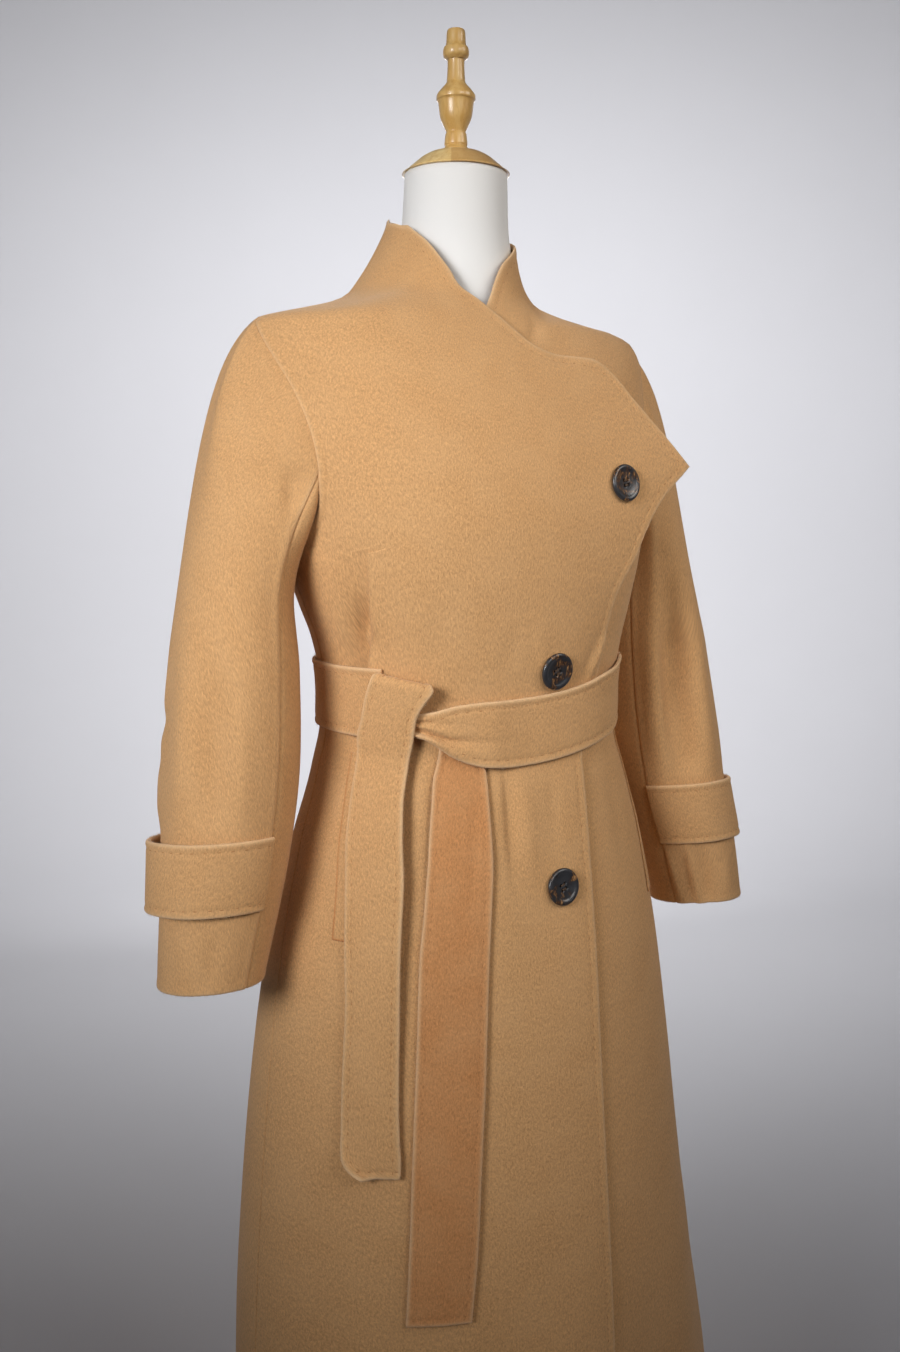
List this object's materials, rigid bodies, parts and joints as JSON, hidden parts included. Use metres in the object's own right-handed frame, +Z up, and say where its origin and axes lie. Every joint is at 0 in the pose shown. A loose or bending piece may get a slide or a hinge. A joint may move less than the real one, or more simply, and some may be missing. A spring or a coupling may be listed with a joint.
{
  "type": "wrap coat on a dress form",
  "caption": "Long wrap coat in napped camel cloth with a pointed lapel, tied belt, sleeve straps and buttons, worn on a limbless dress form with a wooden finial and round stand.",
  "frame": {"origin": "Middle of the base's underside, on the floor, under the form's upright axis.", "axes": "+Z is up along the form's pole, the coat faces -Y, and +X is the wearer's left."},
  "size_m": [0.6338, 0.4236, 1.6372],
  "materials": {
    "coat_cloth": "napped",
    "button_horn": "polished",
    "form_jersey": "smooth knit",
    "form_wood": "lacquered"
  },
  "bodies": {
    "root": {"right_front": "coat_cloth", "left_front": "coat_cloth", "left_back": "coat_cloth", "right_back": "coat_cloth", "right_sleeve_upper": "coat_cloth", "right_sleeve_under": "coat_cloth", "left_sleeve_upper": "coat_cloth", "left_sleeve_under": "coat_cloth", "right_strap": "coat_cloth", "left_strap": "coat_cloth", "right_welt": "coat_cloth", "left_welt": "coat_cloth", "belt_band": "coat_cloth", "belt_knot": "coat_cloth", "belt_end_front": "coat_cloth", "belt_end_rear": "coat_cloth", "button_top": "button_horn", "button_middle": "button_horn", "button_lower": "button_horn", "form_torso": "form_jersey", "neck_cap": "form_wood", "finial": "form_wood", "pole": "form_wood", "base": "form_wood"}
  },
  "joints": []
}
